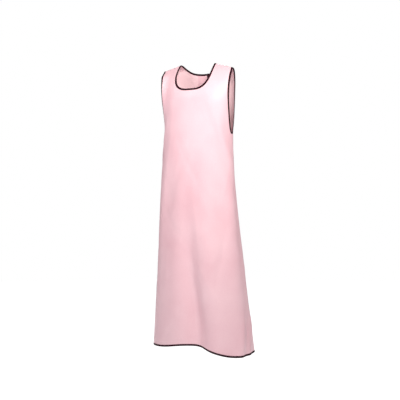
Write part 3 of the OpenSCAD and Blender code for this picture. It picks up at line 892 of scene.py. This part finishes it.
def shoulder_edge(side):
    def edge(t, inset):
        x = mix(NECK_HALF + 10, TIP_HALF - 10, t)
        return side + 0 * t, x, shoulder_z(x) - SHOULDER_SEAMS[side]
    return edge


def seam_tape(word, mirror, seam_place, side, x, z, edge, flip):
    """A tape inside a seam, with a row of stitches on each side of it outside."""
    name = "%s_%s_" % (word, seam_place)
    tape = sheet_grid(name + "tape", side, mirror * x, z, TAPE_OUT, TAPE_IN, [TAPE, TAPE], flip)
    runs = [edge_run(edge(half), 0, 1, 0, CLOTH_OUT + SEAM_ABOVE, no_lift, mirror) for half in (FRONT, BACK)]
    seam = stitch_row(runs, THREAD_PINK, name + "stitching")
    for obj in (tape, seam):
        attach(obj, "apron")
    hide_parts(name + "seam_tape")


for word, mirror in SIDES:
    low = -HEM_DROP + TRIM_W + 1
    rows = np.linspace(low, 0, 190)[:, None]
    cols = np.linspace(-FLAP_EDGE + TRIM_W + GAP, FACING_END, 9)
    z = mix(low, back_neck_z(cols) - TRIM_W - 1, (rows - low) / -low)
    x = cols + 0 * z
    over = RISES[word](x)
    facing = sheet_grid(word + "_facing", BACK, mirror * x, z, FACING_OUT + over, FACING_IN + over,
                        [PINK, PINK], flip=mirror > 0)
    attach(facing, word + "_flap")
    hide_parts(word + "_back_facing")
    seam = stitch_row([edge_run(facing_edge, 0, 1, 0, lift, RISES[word], mirror)
                       for lift in (CLOTH_OUT + ABOVE, FACING_IN - ABOVE)],
                      THREAD_PINK, word + "_facing_stitching")
    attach(seam, word + "_flap")

    z = np.linspace(-HEM_DROP + TRIM_W + 0.5, -UNDERARM - TRIM_W - 0.5, 150)[:, None] + 0 * SIDE_TURNS
    side = np.where(SIDE_TURNS + 0 * z > 0, BACK, FRONT)
    seam_tape(word, mirror, "side", side, half_width(z) * np.cos(SIDE_TURNS), z, side_edge,
              flip=mirror > 0)

    x = np.linspace(NECK_HALF + TRIM_W + GAP, TIP_HALF - TRIM_W - GAP, 24) + 0 * SHOULDER_PARTS
    part = SHOULDER_PARTS + 0 * x
    z = shoulder_z(x) - np.where(part < 0, SHOULDER_DROPS[FRONT] * -part, SHOULDER_DROPS[BACK] * part**2)
    seam_tape(word, mirror, "shoulder", np.where(part > 0, BACK, FRONT), x, z, shoulder_edge,
              flip=mirror < 0)

# ---- care label: a folded blank ribbon in the left side seam ----
LABEL_TOP, LABEL_H, LABEL_W = -560.0, 60.0, 30.0
LABEL_HALF_THICK = np.array([0, 0.15, 0])
z = np.linspace(LABEL_TOP - LABEL_H, LABEL_TOP, 25)[:, None] + np.zeros((1, 17))
s = np.linspace(0, 1, 17)[None] + 0 * z
hang = 1 - (z - (LABEL_TOP - LABEL_H)) / LABEL_H
x = half_width(z) - 1.1 - LABEL_W * s
y = -5.0 * s**2 * (0.4 + hang) + 1.2 * np.sin(s * 5 + z * 0.06) * s
points = np.stack([x, y, z - 1.5 * s * hang], -1)
outer = drape(points - LABEL_HALF_THICK).reshape(-1, 3)
inner = drape(points + LABEL_HALF_THICK).reshape(-1, 3)
uv = np.stack([s * LABEL_W, z - LABEL_TOP], -1).reshape(-1, 2) * MM
label = shell("care_ribbon", outer, inner, grid_faces(*z.shape, flip=True), [SATIN, SATIN], uv)
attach(label, "apron")
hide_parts("care_label")

# ---- press studs keep their CAD shape ----
for node, material in (("snap_caps", CAP), ("snap_sockets", NICKEL), ("snap_studs", NICKEL),
                       ("snap_rings", NICKEL)):
    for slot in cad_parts[node].material_slots:
        slot.material = material

# ---- camera ----
AZIMUTH, DISTANCE, EYE_Z, LENS = math.radians(28.0), 5.0, -0.65, 94.0
camera = bpy.data.objects.new("camera", bpy.data.cameras.new("camera"))
camera.data.lens = LENS
camera.data.sensor_width = 36.0
camera.location = (DISTANCE * math.sin(AZIMUTH), -DISTANCE * math.cos(AZIMUTH), EYE_Z)
aim_right = 0.0022 * DISTANCE  # the apron stands a little left of the picture's middle
aim = Vector((aim_right * math.cos(AZIMUTH), aim_right * math.sin(AZIMUTH), EYE_Z))
camera.rotation_euler = (aim - camera.location).to_track_quat("-Z", "Y").to_euler()
bpy.context.scene.collection.objects.link(camera)
bpy.context.scene.camera = camera

# ---- floor, light and sky ----
FLOOR_Z, FLOOR_RADIUS, FLOOR_SIDES = -1.53, 6.5, 96
FLOOR_GLOW, GLOW_REACH = (0.89, 1.02), (1.8, 4.5)  # near the apron and far off, and at which radii
bpy.context.scene.view_settings.view_transform = "Standard"
mesh = bpy.data.meshes.new("floor")
rim = [(FLOOR_RADIUS * math.cos(a), FLOOR_RADIUS * math.sin(a), FLOOR_Z)
       for a in np.linspace(0, 2 * math.pi, FLOOR_SIDES, endpoint=False)]
mesh.from_pydata(rim, [], [list(range(FLOOR_SIDES))])
floor = bpy.data.objects.new("floor", mesh)
bpy.context.scene.collection.objects.link(floor)
n = Nodes("floor_pale")
place = n.add("ShaderNodeTexCoord").outputs["Object"]
n.put(n.shader, "Base Color", n.ramp(n.noise(place, 3.0), [
    (0.3, (0.29, 0.29, 0.295, 1)), (0.7, (0.32, 0.32, 0.32, 1))]))
n.shader.inputs["Roughness"].default_value = 0.8
n.shader.inputs["Emission Color"].default_value = (1, 1, 1, 1)
# its far edge is as white as what lies behind it
away = n.add("ShaderNodeVectorMath", {"Vector": place}, operation="LENGTH").outputs["Value"]
n.put(n.shader, "Emission Strength", n.span(away, *FLOOR_GLOW, *GLOW_REACH))
floor.data.materials.append(n.material)

# pale light from all round; the camera itself sees plain white behind the apron
world = bpy.data.worlds.new("studio")
bpy.context.scene.world = world
world.use_nodes = True
tree = world.node_tree
around = tree.nodes["Background"]
around.inputs["Color"].default_value = (0.97, 0.98, 1.0, 1)
around.inputs["Strength"].default_value = 0.1
white = tree.nodes.new("ShaderNodeBackground")
white.inputs["Color"].default_value = (1, 1, 1, 1)
choose = tree.nodes.new("ShaderNodeMixShader")
tree.links.new(tree.nodes.new("ShaderNodeLightPath").outputs["Is Camera Ray"], choose.inputs["Fac"])
tree.links.new(around.outputs[0], choose.inputs[1])
tree.links.new(white.outputs[0], choose.inputs[2])
tree.links.new(choose.outputs[0], tree.nodes["World Output"].inputs["Surface"])


def soft_light(name, place, target, size, energy, color=(1, 1, 1), spread=180.0):
    lamp = bpy.data.lights.new(name, "AREA")
    lamp.shape = "RECTANGLE"
    lamp.size, lamp.size_y = size
    lamp.energy = energy
    lamp.spread = math.radians(spread)
    lamp.color = color
    obj = bpy.data.objects.new(name, lamp)
    obj.location = place
    obj.rotation_euler = (Vector(target) - Vector(place)).to_track_quat("-Z", "Y").to_euler()
    bpy.context.scene.collection.objects.link(obj)


soft_light("key", (1.3, -1.3, 0.6), (0.0, -0.1, -0.35), (0.8, 0.8), 19.0, (1.0, 0.98, 0.915), 120.0)
soft_light("fill", (-0.8, -1.5, 0.8), (0.0, -0.1, -0.2), (0.9, 0.9), 9.6, (1.0, 0.985, 0.95), 120.0)
soft_light("back", (-0.8, 2.8, 0.8), (0.0, 0.0, -0.6), (1.6, 1.6), 52.0)
